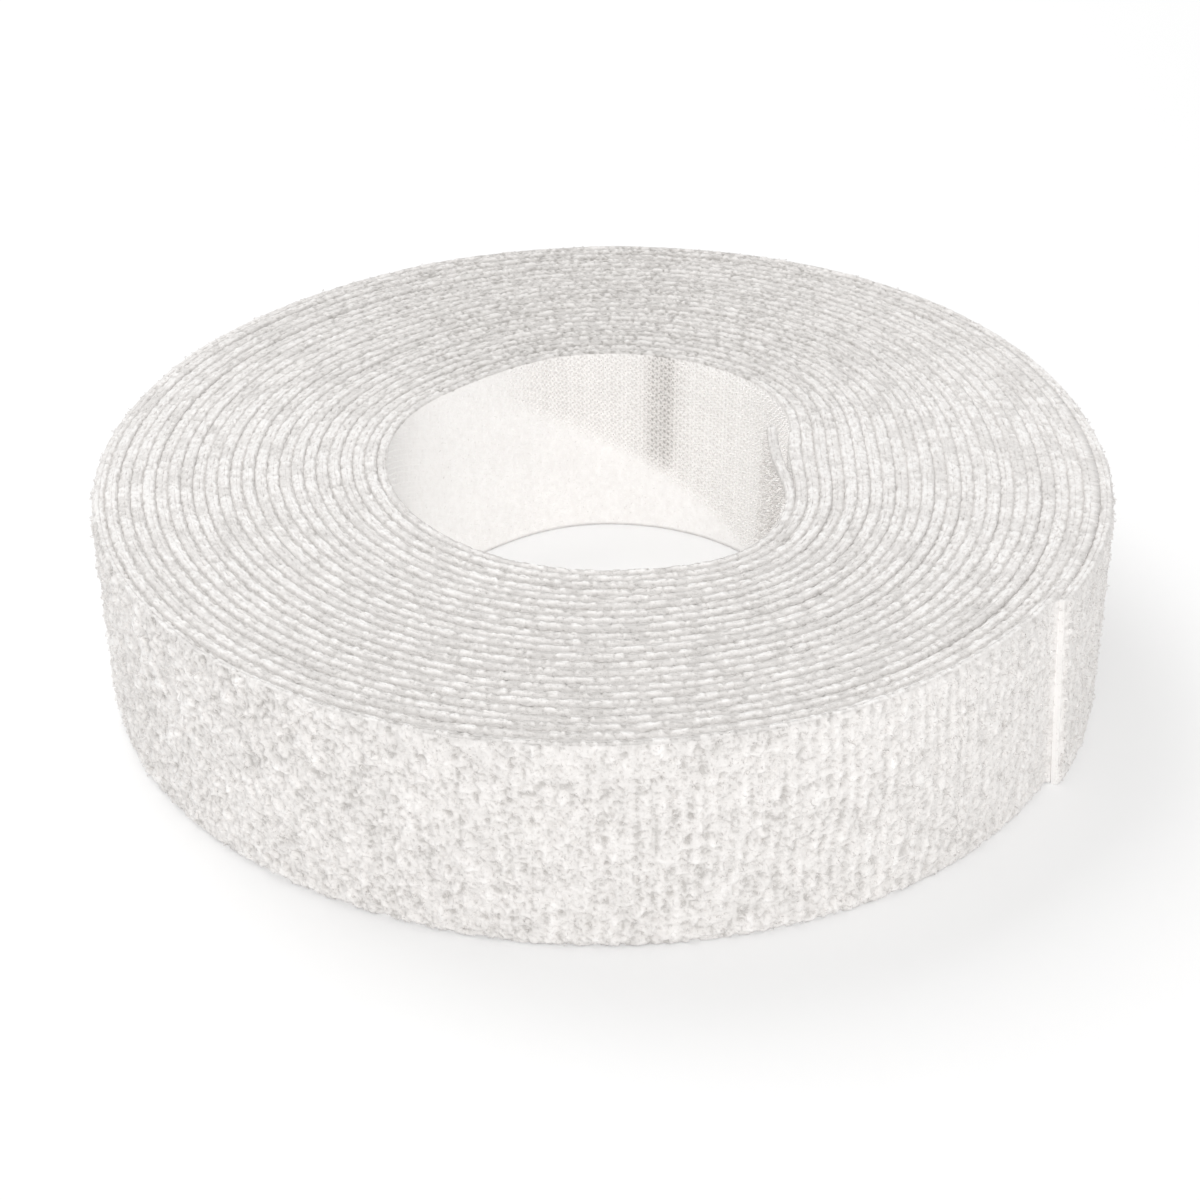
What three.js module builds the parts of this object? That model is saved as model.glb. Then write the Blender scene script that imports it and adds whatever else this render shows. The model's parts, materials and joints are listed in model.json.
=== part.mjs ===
// A roll of white hook and loop tape, lying on its side with no core or reel.
// Two woven plies are bonded back to back: hooks face the bore, loops face out,
// so each turn grips the next. The outer end and the inner end can be peeled away.
// Millimetres, +Z up along the axis of the roll, origin under the middle of the roll.

import * as THREE from 'three';

// Tape.
const TAPE_WIDTH = 20;
const HOOK_BACKING = 0.26;
const LOOP_BACKING = 0.28;
// Thickness of the hooks and loops that are pressed together between two turns.
const PILE_GAP = 0.53;

// Winding. The tape starts at the bore and runs clockwise, seen from above, as it grows.
const BORE_RADIUS = 19.3;
const FULL_TURNS = 24;
const STEPS_PER_TURN = 23;
// Steps by which the outer end runs past the angle of the inner end.
const OVERLAP_STEPS = 3;
const INNER_END_ANGLE = THREE.MathUtils.degToRad(18);

// The hand-wound roll is a little oval. The stiff inner end lies as a straight chord,
// with a swell beside it and a weaker flat across the bore, and all fade in later turns.
const OVAL_SWELL = 0.79;
const OVAL_ANGLE = THREE.MathUtils.degToRad(22.5);
const END_FLAT = { depth: 3.4, angle: THREE.MathUtils.degToRad(-1), spread: THREE.MathUtils.degToRad(29) };
const END_SWELL = { depth: -0.9, angle: THREE.MathUtils.degToRad(-56), spread: THREE.MathUtils.degToRad(20) };
const FAR_FLAT = { depth: 1.1, angle: THREE.MathUtils.degToRad(130), spread: THREE.MathUtils.degToRad(24) };
const FLAT_FADE = 0.6;

// Free ends. The outer one bends at a flex line on each of its steps, the inner one at its root.
const OUTER_END_STEPS = 4;
const INNER_END_STEPS = 3;
const FLEX_GAP = 0.3;
// The outer end was cut askew: how far each of its edges runs past the last step.
const CUT_UPPER = 3.2;
const CUT_LOWER = 0.2;

// Worked out from the sizes above.
const TAPE_THICKNESS = HOOK_BACKING + LOOP_BACKING;
const PITCH = TAPE_THICKNESS + PILE_GAP;
const STEP_COUNT = FULL_TURNS * STEPS_PER_TURN + OVERLAP_STEPS;
const STEP_ANGLE = (2 * Math.PI) / STEPS_PER_TURN;
const OUTER_END_START = STEP_COUNT - OUTER_END_STEPS;

const hookMaterial = new THREE.MeshStandardMaterial({ color: 0xf4f1ee, roughness: 0.6, metalness: 0 });
const loopMaterial = new THREE.MeshStandardMaterial({ color: 0xebe7e3, roughness: 0.95, metalness: 0 });

// Radius of the bond between the plies, a number of steps out from the inner end.
function bondRadius(step) {
  const angle = INNER_END_ANGLE - step * STEP_ANGLE;
  const share = step / STEP_COUNT;
  let radius = BORE_RADIUS + HOOK_BACKING + (PITCH * step) / STEPS_PER_TURN;
  radius += OVAL_SWELL * share * Math.cos(2 * (angle - OVAL_ANGLE));
  const fade = Math.max(1 - share, 0) ** FLAT_FADE;
  for (const flat of [END_FLAT, END_SWELL, FAR_FLAT]) {
    const turned = angle - flat.angle;
    const away = Math.atan2(Math.sin(turned), Math.cos(turned)) / flat.spread;
    radius -= fade * flat.depth * Math.exp(-away * away);
  }
  return radius;
}

function bondPoint(step) {
  const angle = INNER_END_ANGLE - step * STEP_ANGLE;
  return new THREE.Vector2(Math.cos(angle), Math.sin(angle)).multiplyScalar(bondRadius(step));
}

// Point on the tape at a whole step, a given distance out from the bond.
function platePoint(step, offset) {
  const along = bondPoint(step + 1).sub(bondPoint(step - 1)).normalize();
  const outward = new THREE.Vector2(-along.y, along.x);
  return bondPoint(step).addScaledVector(outward, offset);
}

// Point on the straight facet between whole steps.
function tapePoint(step, offset) {
  const from = Math.floor(step);
  if (from === step) {
    return platePoint(step, offset);
  }
  return platePoint(from, offset).lerp(platePoint(from + 1, offset), step - from);
}

// Steps that a length past the last step takes up.
function stepsPastEnd(length) {
  return length / bondPoint(STEP_COUNT).distanceTo(bondPoint(STEP_COUNT + 1));
}

// Steps at which a stretch of tape has a corner, its two ends among them.
function stations(start, end) {
  const steps = [start];
  for (let step = Math.floor(start) + 1; step < end; step += 1) {
    steps.push(step);
  }
  steps.push(end);
  return steps;
}

// Section of a ply where its lower and its upper edge have each come to a step.
function section(lowerStep, upperStep, insideOffset, outsideOffset) {
  const lower = [insideOffset, outsideOffset].map((offset) => tapePoint(lowerStep, offset));
  const upper = [outsideOffset, insideOffset].map((offset) => tapePoint(upperStep, offset));
  return [
    ...lower.flatMap((point) => [point.x, point.y, 0]),
    ...upper.flatMap((point) => [point.x, point.y, TAPE_WIDTH]),
  ];
}

// One ply of a stretch of tape: a rectangle standing on its edge, swept from start to end.
// A stretch that reaches the last step goes on to the cut.
function plyGeometry(start, end, insideOffset, outsideOffset) {
  const sections = stations(start, end).map((step) => section(step, step, insideOffset, outsideOffset));
  if (end === STEP_COUNT) {
    const lower = end + stepsPastEnd(CUT_LOWER);
    const upper = end + stepsPastEnd(CUT_UPPER);
    sections.push(section(lower, upper, insideOffset, outsideOffset));
  }
  const positions = sections.flat();
  const faces = [];
  const corners = 4;
  for (let ring = 0; ring + 1 < sections.length; ring += 1) {
    for (let corner = 0; corner < corners; corner += 1) {
      const a = ring * corners + corner;
      const b = ring * corners + ((corner + 1) % corners);
      faces.push(a, b, a + corners, b, b + corners, a + corners);
    }
  }
  const last = (sections.length - 1) * corners;
  faces.push(0, 2, 1, 0, 3, 2);
  faces.push(last, last + 1, last + 2, last, last + 2, last + 3);
  const geometry = new THREE.BufferGeometry();
  geometry.setAttribute('position', new THREE.Float32BufferAttribute(positions, 3));
  geometry.setIndex(faces);
  geometry.computeVertexNormals();
  return geometry;
}

// Both plies of a stretch of tape, bonded face to face.
function addTape(group, hookName, loopName, start, end) {
  const hook = new THREE.Mesh(plyGeometry(start, end, -HOOK_BACKING, 0), hookMaterial);
  hook.name = hookName;
  const loop = new THREE.Mesh(plyGeometry(start, end, 0, LOOP_BACKING), loopMaterial);
  loop.name = loopName;
  group.add(hook, loop);
}

// Steps that half of a flex gap takes up beside a flex line.
function halfGap(step) {
  return FLEX_GAP / 2 / bondPoint(step).distanceTo(bondPoint(step + 1));
}

// Least distance between the outside of a turn and the inside of the next one out.
function leastTurnGap() {
  let least = Infinity;
  const facet = new THREE.Line3();
  const nearest = new THREE.Vector3();
  for (let step = 0; step + STEPS_PER_TURN < STEP_COUNT; step += 1) {
    const outside = platePoint(step, LOOP_BACKING);
    const point = new THREE.Vector3(outside.x, outside.y, 0);
    for (const shift of [-1, 0]) {
      const next = Math.max(step + STEPS_PER_TURN + shift, 0);
      const a = platePoint(next, -HOOK_BACKING);
      const b = platePoint(next + 1, -HOOK_BACKING);
      facet.set(new THREE.Vector3(a.x, a.y, 0), new THREE.Vector3(b.x, b.y, 0));
      facet.closestPointToPoint(point, true, nearest);
      least = Math.min(least, nearest.distanceTo(point));
    }
  }
  return least;
}

const roll = new THREE.Group();

// Wound tape between the two free ends.
const woundStart = INNER_END_STEPS + halfGap(INNER_END_STEPS);
const woundEnd = OUTER_END_START - halfGap(OUTER_END_START - 1);
addTape(roll, 'wound_hook_tape', 'wound_loop_tape', woundStart, woundEnd);

// Inner end, from its cut edge to its flex line.
const innerRoot = INNER_END_STEPS - halfGap(INNER_END_STEPS - 1);
addTape(roll, 'inner_end_hook_tape', 'inner_end_loop_tape', 0, innerRoot);

// Outer end, one piece for each step between flex lines, out to its cut edge.
for (let index = 0; index < OUTER_END_STEPS; index += 1) {
  const line = OUTER_END_START + index;
  const start = line + halfGap(line);
  const end = index + 1 < OUTER_END_STEPS ? line + 1 - halfGap(line) : STEP_COUNT;
  const name = `outer_end_${index + 1}`;
  addTape(roll, `${name}_hook_tape`, `${name}_loop_tape`, start, end);
}

// The origin sits on the surface that the roll lies on, under the middle of its outline.
const outline = new THREE.Box3().setFromObject(roll);
const middle = outline.getCenter(new THREE.Vector3());
roll.position.set(-middle.x, -middle.y, -outline.min.z);

let tapeLength = (CUT_LOWER + CUT_UPPER) / 2;
for (let step = 0; step < STEP_COUNT; step += 1) {
  tapeLength += bondPoint(step).distanceTo(bondPoint(step + 1));
}
const flexLines = [INNER_END_STEPS];
for (let index = 0; index < OUTER_END_STEPS; index += 1) {
  flexLines.push(OUTER_END_START + index);
}
for (const line of flexLines) {
  const hinge = bondPoint(line);
  console.log(`flex line at ${(hinge.x - middle.x).toFixed(4)}, ${(hinge.y - middle.y).toFixed(4)} mm`);
}
console.log(`tape length ${tapeLength.toFixed(0)} mm, pitch ${PITCH.toFixed(3)} mm`);
console.log(`least gap between turns ${leastTurnGap().toFixed(3)} mm`);

export default roll;
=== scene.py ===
import json
import math

import bpy
import numpy as np
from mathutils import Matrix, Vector


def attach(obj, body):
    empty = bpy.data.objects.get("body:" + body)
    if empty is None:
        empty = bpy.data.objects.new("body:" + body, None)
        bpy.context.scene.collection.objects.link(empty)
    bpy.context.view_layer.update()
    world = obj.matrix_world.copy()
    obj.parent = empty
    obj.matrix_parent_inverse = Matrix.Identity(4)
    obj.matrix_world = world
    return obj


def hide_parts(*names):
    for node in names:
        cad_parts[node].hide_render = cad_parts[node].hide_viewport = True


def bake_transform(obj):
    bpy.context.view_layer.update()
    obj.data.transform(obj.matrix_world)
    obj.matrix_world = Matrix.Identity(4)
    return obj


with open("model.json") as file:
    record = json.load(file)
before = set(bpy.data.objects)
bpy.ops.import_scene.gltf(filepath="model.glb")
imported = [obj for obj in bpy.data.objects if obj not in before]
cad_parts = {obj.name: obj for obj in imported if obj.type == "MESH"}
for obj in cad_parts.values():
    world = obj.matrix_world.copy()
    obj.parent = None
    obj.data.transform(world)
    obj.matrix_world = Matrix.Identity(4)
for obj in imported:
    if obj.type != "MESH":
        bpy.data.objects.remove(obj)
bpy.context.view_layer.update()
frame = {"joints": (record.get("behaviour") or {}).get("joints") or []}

# A roll of white hook and loop tape. The tape is two woven plies bonded back to back, wound
# with the hooks inside and the loops outside. Lengths are millimetres until a mesh is made.
MM = 0.001

# Tape and winding, as in the CAD model. A flat has a depth, and an angle and a spread in degrees.
TAPE_WIDTH = 20.0
HOOK_BACKING = 0.26
LOOP_BACKING = 0.28
PITCH = 1.07
BORE_RADIUS = 19.3
STEPS_PER_TURN = 23
STEP_COUNT = 555
STEP_ANGLE = 2 * math.pi / STEPS_PER_TURN
INNER_END_ANGLE = math.radians(18)
OVAL_SWELL = 0.79
OVAL_ANGLE = math.radians(22.5)
FLATS = ((3.4, -1, 29), (-0.9, -56, 20), (1.1, 130, 24))
FLAT_FADE = 0.6

# The outer end was cut askew: how far each of its edges runs past the last step, and the stretch
# of tape over which the slant fades. Its lower edge is longer than in the CAD model.
CUT_UPPER = 3.2
CUT_LOWER = 1.5
CUT_FADE = 8.0

# The inner end leans into the bore: how far its lower edge does, and the share of it that its
# upper edge lacks.
INNER_LEAN = 1.7
LEAN_LOSS = 0.4

# The outer turns of the hand-wound roll aren't upright: how far their lower and their upper edges
# stand out, and the middle and spread in degrees of the part of the roll where they do.
LOWER_FLARES = ((0.9, -50, 40), (-0.4, -125, 26), (-0.45, -8, 16))
UPPER_FLARES = ((-0.6, 8, 28),)

# Steps at which the free ends bend, and where the visible pieces part.
INNER_LINE = 3
INNER_ROOT = 4.2
OUTER_LINES = (551, 552, 553, 554)
OUTER_ROOT = 550.35
PILE_START = 527.6
BORE_END = 26.3

# Distances between the points of a mesh, along and across the tape, and between loose loops.
HIDDEN_SPACING = 0.25
WOUND_SPACING = 0.15
BARE_SPACING = 0.13
PILED_SPACING = 0.11
FUZZ_SPACING = 0.54

# Pile. Between turns the hooks and loops share the gap, and the loops take the larger share. Little
# of it is left between bare hooks and on a sealed cut.
LOOP_SHARE = 0.6
SLIT = 0.004
BARE_PILE = 0.03
SEALED_PILE = 0.02

# Colours of painted shade, put at the bottom of the pile and in its grooves and hollows, of the pile's
# surface, and of bare hooks and sealed ends. A shade of 0 means the first, 1 the second and WHITE_SHADE
# the third.
PAINTED_SHADE_COLOUR = (0.46, 0.44, 0.42)
YARN_COLOUR = (0.868, 0.843, 0.823)
WHITE_COLOUR = (0.98, 0.965, 0.95)
WHITE_SHADE = 1.2


def smooth(x):
    """A soft step from 0 to 1."""
    x = np.clip(x, 0, 1)
    return x * x * (3 - 2 * x)


def hashed(seed, a, b):
    """A repeatable value from -1 to 1 for each pair of whole numbers."""
    h = a.astype(np.int64) * 374761393 + b.astype(np.int64) * 668265263 + seed * 2246822519
    h = h & 0xFFFFFFFF
    h = ((h ^ (h >> 13)) * 1274126177) & 0xFFFFFFFF
    h = h ^ (h >> 16)
    return h / 2147483647.5 - 1


def noise(seed, u, v=0.0):
    """Smooth noise from -1 to 1, one bump per whole number of u and v."""
    u, v = np.broadcast_arrays(np.asarray(u, float), np.asarray(v, float))
    iu, iv = np.floor(u), np.floor(v)
    fu, fv = smooth(u - iu), smooth(v - iv)
    near = hashed(seed, iu, iv) * (1 - fu) + hashed(seed, iu + 1, iv) * fu
    far = hashed(seed, iu, iv + 1) * (1 - fu) + hashed(seed, iu + 1, iv + 1) * fu
    return near * (1 - fv) + far * fv


def mottle(seed, along, across, cells):
    """Noise of several sizes added up. cells holds the lengths along and across and the weight."""
    layers = [w * noise(seed + k, along / a, across / b) for k, (a, b, w) in enumerate(cells)]
    return sum(layers)


# Winding


def angle_at(step):
    """Angle round the roll, a number of steps out from the inner end."""
    return INNER_END_ANGLE - np.asarray(step, float) * STEP_ANGLE


def lobe(angle, middle, spread):
    """1 at an angle round the roll and falling to 0 beside it. middle and spread are degrees."""
    away = np.angle(np.exp(1j * (angle - math.radians(middle)))) / math.radians(spread)
    return np.exp(-away * away)


def bond_xy(step):
    """Where the bond between the plies is, a number of steps out from the inner end."""
    step = np.asarray(step, float)
    angle = angle_at(step)
    share = step / STEP_COUNT
    radius = BORE_RADIUS + HOOK_BACKING + PITCH * step / STEPS_PER_TURN
    radius = radius + OVAL_SWELL * share * np.cos(2 * (angle - OVAL_ANGLE))
    fade = np.maximum(1 - share, 0) ** FLAT_FADE
    for depth, middle, spread in FLATS:
        radius = radius - fade * depth * lobe(angle, middle, spread)
    return np.stack((radius * np.cos(angle), radius * np.sin(angle)), -1)


# The axis of the roll, found from the first hinge of the outer end.
HINGES = {joint["name"]: np.array(joint["pos_m"][:2]) / MM for joint in frame["joints"]}
AXIS = HINGES["outer_end_peel"] - bond_xy(OUTER_LINES[0])

# Length along the tape by step. CLUMP_COUNT counts it in clumps of pile, which are longer at the
# sides of the roll.
CLUMP_STRETCH = 0.6
TABLE_STEP = np.linspace(0, STEP_COUNT + 1, 60001)
TABLE_MOVE = np.linalg.norm(np.diff(bond_xy(TABLE_STEP), axis=0), axis=1)
TABLE_LENGTH = np.concatenate(([0], np.cumsum(TABLE_MOVE)))
CLUMP_LENGTH = 1 + CLUMP_STRETCH * np.cos(angle_at(TABLE_STEP[1:])) ** 2
CLUMP_COUNT = np.concatenate(([0], np.cumsum(np.diff(TABLE_LENGTH) / CLUMP_LENGTH)))


def length_at(step):
    """Length along the tape at steps out from the inner end."""
    return np.interp(step, TABLE_STEP, TABLE_LENGTH)


def step_at(length):
    """Steps out from the inner end at lengths along the tape."""
    return np.interp(length, TABLE_LENGTH, TABLE_STEP)


def around(length):
    """Angle round the roll at lengths along the tape."""
    return angle_at(step_at(length))


TAPE_LENGTH = float(length_at(STEP_COUNT)) + (CUT_LOWER + CUT_UPPER) / 2


def tape_frame(length):
    """Bond point, direction along the tape and outward direction, at lengths from the inner end."""
    step = step_at(length)
    along = bond_xy(step + 0.01) - bond_xy(step - 0.01)
    along /= np.linalg.norm(along, axis=-1, keepdims=True)
    outward = np.stack((-along[..., 1], along[..., 0]), -1)
    return AXIS + bond_xy(step), along, outward


def directions(length):
    """Directions along the tape, outward and up, in space."""
    _, along, outward = tape_frame(length)
    zero = np.zeros(len(length))
    up = np.tile((0.0, 0.0, 1.0), (len(length), 1))
    return np.column_stack((along, zero)), np.column_stack((outward, zero)), up


def turn_pitch(length, turns):
    """Distance between the bonds of a turn and of the next one out (1) or in (-1)."""
    point, _, outward = tape_frame(length)
    beside = step_at(length) + turns * STEPS_PER_TURN
    pitch = turns * ((AXIS + bond_xy(beside) - point) * outward).sum(-1)
    known = (beside <= STEP_COUNT + 0.5) & (beside >= 0)
    return np.where(known, pitch, PITCH)


def pile_limits(length):
    """Offsets from the bond at which the pressed pile of a turn ends, inside and outside."""
    thickness = HOOK_BACKING + LOOP_BACKING
    inside = (1 - LOOP_SHARE) * (turn_pitch(length, -1) - thickness) - SLIT / 2
    outside = LOOP_SHARE * (turn_pitch(length, 1) - thickness) - SLIT / 2
    bare = 1 - smooth((length - length_at(STEPS_PER_TURN)) / 3)
    inside = np.maximum(inside * (1 - bare), BARE_PILE)
    thin = thinning(length)
    inside = inside + (SEALED_PILE - inside) * thin
    outside = outside + (SEALED_PILE - outside) * thin
    return -HOOK_BACKING - inside, LOOP_BACKING + outside


def from_cut(length):
    """Distance from the nearer cut end of the tape."""
    return np.minimum(length, TAPE_LENGTH - length)


def sealing(length):
    """1 at the cut ends of the tape, where heat has sealed the yarns, and 0 a little way in."""
    return 1 - smooth((from_cut(length) - 0.06) / 0.14)


def seal_tone(z):
    """How white a sealed cut is at a height. It is uneven and fades out near the upper edge."""
    return 0.75 + 0.15 * noise(64, z / 0.5) - 0.6 * smooth((z - 14) / 5)


def thinning(length):
    """1 at the cut ends of the tape, where the pile is melted down, and 0 a little way in."""
    return 1 - smooth((from_cut(length) - 0.1) / 0.5)


def cut_slant(length, z):
    """How far along the tape the askew cut carries its outer end at a height."""
    near = smooth(1 - (TAPE_LENGTH - length) / CUT_FADE)
    return (CUT_UPPER - CUT_LOWER) * (z / TAPE_WIDTH - 0.5) * near


def end_lean(length, z):
    """How far the inner end leans into the bore at a height."""
    near = 1 - smooth(length / length_at(INNER_LINE))
    return INNER_LEAN * near * (1 - LEAN_LOSS * z / TAPE_WIDTH)


def flare(length, z):
    """How far the tape stands out from upright at a height. The inner turns hardly do."""
    step = step_at(length)
    angle = angle_at(step)
    lower = sum(depth * lobe(angle, middle, spread) for depth, middle, spread in LOWER_FLARES)
    upper = sum(depth * lobe(angle, middle, spread) for depth, middle, spread in UPPER_FLARES)
    rise = np.clip(z / TAPE_WIDTH, 0, 1)
    return (step / STEP_COUNT) ** 2 * (lower * (1 - rise) ** 1.3 + upper * rise)


def place(length, offset, z):
    """Points on the tape, at offsets out from the bond and at heights."""
    point, along, outward = tape_frame(length)
    offset = (offset - end_lean(length, z) + flare(length, z))[..., None]
    xy = point + outward * offset + along * cut_slant(length, z)[..., None]
    return np.concatenate((xy, z[..., None]), -1)


# Materials


def add_node(tree, kind, values=(), **settings):
    """A new shader node. values holds its inputs by name, and settings its own properties."""
    node = tree.nodes.new(kind)
    for name, value in dict(values).items():
        node.inputs[name].default_value = value
    for name, value in settings.items():
        setattr(node, name, value)
    return node


def add_tone(tree, fine, drift, darkest, rarity, specks):
    """Colour of the yarn from its shade attribute, which carries painted light and shade, a drift of
    tone and dark specks of painted shade.
    """
    link = tree.links.new
    depth = add_node(tree, "ShaderNodeAttribute", attribute_name="shade")
    limits = {"From Min": rarity, "From Max": rarity + 0.1, "To Max": specks}
    speck = add_node(tree, "ShaderNodeMapRange", limits)
    link(fine.outputs["Fac"], speck.inputs["Value"])
    level = add_node(tree, "ShaderNodeMath", operation="SUBTRACT")
    link(depth.outputs["Fac"], level.inputs[0])
    link(speck.outputs["Result"], level.inputs[1])
    # The ramp runs from painted shade at 0 through the yarn's colour to white.
    ramp = add_node(tree, "ShaderNodeValToRGB")
    ramp.color_ramp.elements[0].color = (*PAINTED_SHADE_COLOUR, 1)
    ramp.color_ramp.elements[1].color = (*WHITE_COLOUR, 1)
    ramp.color_ramp.elements.new(1 / WHITE_SHADE).color = (*YARN_COLOUR, 1)
    link(level.outputs["Value"], ramp.inputs["Fac"])
    tone = add_node(tree, "ShaderNodeMapRange", {"To Min": darkest, "To Max": 1.02})
    link(drift.outputs["Fac"], tone.inputs["Value"])
    toned = add_node(tree, "ShaderNodeVectorMath", operation="SCALE")
    link(ramp.outputs["Color"], toned.inputs[0])
    link(tone.outputs["Result"], toned.inputs["Scale"])
    return toned.outputs["Vector"]


def tape_material(name, roughness, sheen, darkest, grain, rarity, specks):
    """White yarn. Its colour follows the shade attribute, which holds painted shade in grooves, pits,
    gaps between hooks and on faces turned from the light, painted light on crests and clumps, and the
    yarn's own tone. It has a faint drift of tone over the roll, a fine grain and dark specks, which are
    painted shade between single fibres."""
    material = bpy.data.materials.new(name)
    material.use_nodes = True
    tree = material.node_tree
    link = tree.links.new
    shader = tree.nodes["Principled BSDF"]
    shader.inputs["Sheen Weight"].default_value = sheen
    shader.inputs["Sheen Roughness"].default_value = 0.5
    shader.inputs["Specular IOR Level"].default_value = 0.25

    spot = add_node(tree, "ShaderNodeTexCoord")
    drift = add_node(tree, "ShaderNodeTexNoise", {"Scale": 160, "Detail": 3})
    fine = add_node(tree, "ShaderNodeTexNoise", {"Scale": grain, "Detail": 2})
    link(spot.outputs["Object"], drift.inputs["Vector"])
    link(spot.outputs["Object"], fine.inputs["Vector"])
    colour = add_tone(tree, fine, drift, darkest, rarity, specks)
    link(colour, shader.inputs["Base Color"])

    limits = {"To Min": roughness - 0.06, "To Max": roughness + 0.06}
    rough = add_node(tree, "ShaderNodeMapRange", limits)
    link(fine.outputs["Fac"], rough.inputs["Value"])
    link(rough.outputs["Result"], shader.inputs["Roughness"])
    bump = add_node(tree, "ShaderNodeBump", {"Strength": 0.5, "Distance": 0.00008})
    link(fine.outputs["Fac"], bump.inputs["Height"])
    link(bump.outputs["Normal"], shader.inputs["Normal"])
    return material


HOOK_YARN = tape_material(
    "hook_yarn", roughness=0.62, sheen=0.1, darkest=0.95, grain=4200, rarity=0.66, specks=0.35
)
LOOP_YARN = tape_material(
    "loop_yarn", roughness=0.88, sheen=0.25, darkest=0.94, grain=5200, rarity=0.58, specks=0.22
)
FIBRE = tape_material(
    "fibre", roughness=0.8, sheen=0.25, darkest=0.94, grain=6000, rarity=0.6, specks=0.1
)
HOOK_MOULD = tape_material(
    "hook_mould", roughness=0.45, sheen=0.0, darkest=0.95, grain=6000, rarity=0.68, specks=0.1
)


# Meshes


def make_object(name, points, faces, rounded, uv, shade, material):
    """A mesh object from points in millimetres. faces is a list of arrays, one per face size, and
    rounded says of each face whether it is shaded smooth."""
    mesh = bpy.data.meshes.new(name)
    corners = np.concatenate([f.ravel() for f in faces]).astype(np.int32)
    sides = np.concatenate([np.full(len(f), f.shape[1]) for f in faces])
    starts = np.concatenate(([0], np.cumsum(sides)[:-1])).astype(np.int32)
    mesh.vertices.add(len(points))
    mesh.vertices.foreach_set("co", (points * MM).astype(np.float32).ravel())
    mesh.loops.add(len(corners))
    mesh.loops.foreach_set("vertex_index", corners)
    mesh.polygons.add(len(sides))
    mesh.polygons.foreach_set("loop_start", starts)
    mesh.polygons.foreach_set("use_smooth", rounded)
    layer = mesh.uv_layers.new(name="OFBake")
    layer.data.foreach_set("uv", uv.astype(np.float32).ravel())
    attribute = mesh.attributes.new("shade", "FLOAT", "POINT")
    attribute.data.foreach_set("value", (shade / WHITE_SHADE).astype(np.float32).ravel())
    mesh.update(calc_edges=True)
    mesh.validate()
    mesh.materials.append(material)
    obj = bpy.data.objects.new(name, mesh)
    bpy.context.scene.collection.objects.link(obj)
    return obj


def rulings(start, end, spacing):
    """Lengths at which a strip of tape gets a ring of corners."""
    return np.linspace(start, end, math.ceil((end - start) / spacing) + 1)


def corner_map(u0, u1, v0, v1):
    """Map corners of four-sided faces that each take an upright rectangle."""
    return np.stack((u0, v0, u0, v1, u1, v1, u1, v0), -1).reshape(-1, 2)


# Map of a strip: the share of its height for the rows of the sides, the width that a row takes up
# and its margin, and the height and margin of a side's share of it.
ROWS_SHARE = 0.93
ROW_WIDTH = 0.992
ROW_MARGIN = 0.004
SIDES_HEIGHT = 0.94
SIDES_MARGIN = 0.03


def strip_map(rings, widths, rows):
    """Map of the sides of a strip, cut into rows that fill its lower part. widths holds the share
    of a row that each side of a ring gets."""
    across = np.concatenate(([0], np.cumsum(widths))) / np.sum(widths)
    per_row = math.ceil((rings - 1) / rows)
    ring = np.arange(rings - 1)
    row = ring // per_row
    u0 = ROW_MARGIN + ROW_WIDTH * (ring - row * per_row) / per_row
    u0 = u0[:, None] + 0 * across[:-1]
    u1 = u0 + ROW_WIDTH / per_row
    v = ROWS_SHARE * (row[:, None] + SIDES_MARGIN + SIDES_HEIGHT * across) / rows
    return corner_map(u0, u1, v[:, :-1], v[:, 1:])


def cut_map(offset, height, left):
    """Map of a cut end, above the rows of the sides."""
    wide = (offset - offset.min()) / (offset.max() - offset.min())
    return np.stack((left + 0.48 * height / height.max(), 0.945 + 0.05 * wide), -1)


def sweep(name, lengths, offset, height, shade, widths, bond_side, rows, material):
    """A closed strip along the tape. offset, height and shade hold a ring of corners per length,
    and widths the share of the map that each side of the ring gets. The side on the bond and the
    cut ends are flat. The map is cut into rows."""
    rings, corners = offset.shape
    shade = shade + (WHITE_SHADE - shade) * sealing(lengths)[:, None] * seal_tone(height)
    points = place(lengths[:, None], offset, height).reshape(-1, 3)
    here = np.arange(rings - 1)[:, None] * corners + np.arange(corners)
    beside = np.roll(here, -1, axis=1)
    quads = np.stack((here, beside, beside + corners, here + corners), -1).reshape(-1, 4)
    start_cap = np.arange(corners)[None, ::-1]
    end_cap = np.arange(corners)[None] + (rings - 1) * corners
    rounded = np.tile(np.arange(corners) != bond_side % corners, rings - 1)
    rounded = np.append(rounded, (False, False))
    uv = [
        strip_map(rings, widths, rows),
        cut_map(offset[0, ::-1], height[0, ::-1], 0.01),
        cut_map(offset[-1], height[-1], 0.51),
    ]
    faces = [quads, start_cap, end_cap]
    return make_object(name, points, faces, rounded, np.concatenate(uv), shade, material)


def tube_map(count, points, turn):
    """Map of tubes in a square grid of cells. The sides of a tube fill the left of its cell, and
    its two ends are rings at the right."""
    sides = len(turn)
    columns = math.ceil(math.sqrt(count))
    left = (np.arange(count) % columns / columns)[:, None, None]
    low = (np.arange(count) // columns / columns)[:, None, None]
    k, j = np.arange(points - 1)[:, None], np.arange(sides)
    u0, u1 = (left + (0.04 + 0.72 * (k + n) / (points - 1)) / columns + 0 * j for n in (0, 1))
    v0, v1 = (low + (0.04 + 0.92 * (j + n) / sides) / columns + 0 * k for n in (0, 1))
    uv = [corner_map(u0, u1, v0, v1)]
    for middle in (0.25, 0.75):
        cap_u = left[:, 0] + (0.88 + 0.08 * np.cos(turn)) / columns
        cap_v = low[:, 0] + (middle + 0.2 * np.sin(turn)) / columns
        uv.append(np.stack((cap_u, cap_v), -1).reshape(-1, 2))
    return np.concatenate(uv)


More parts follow.
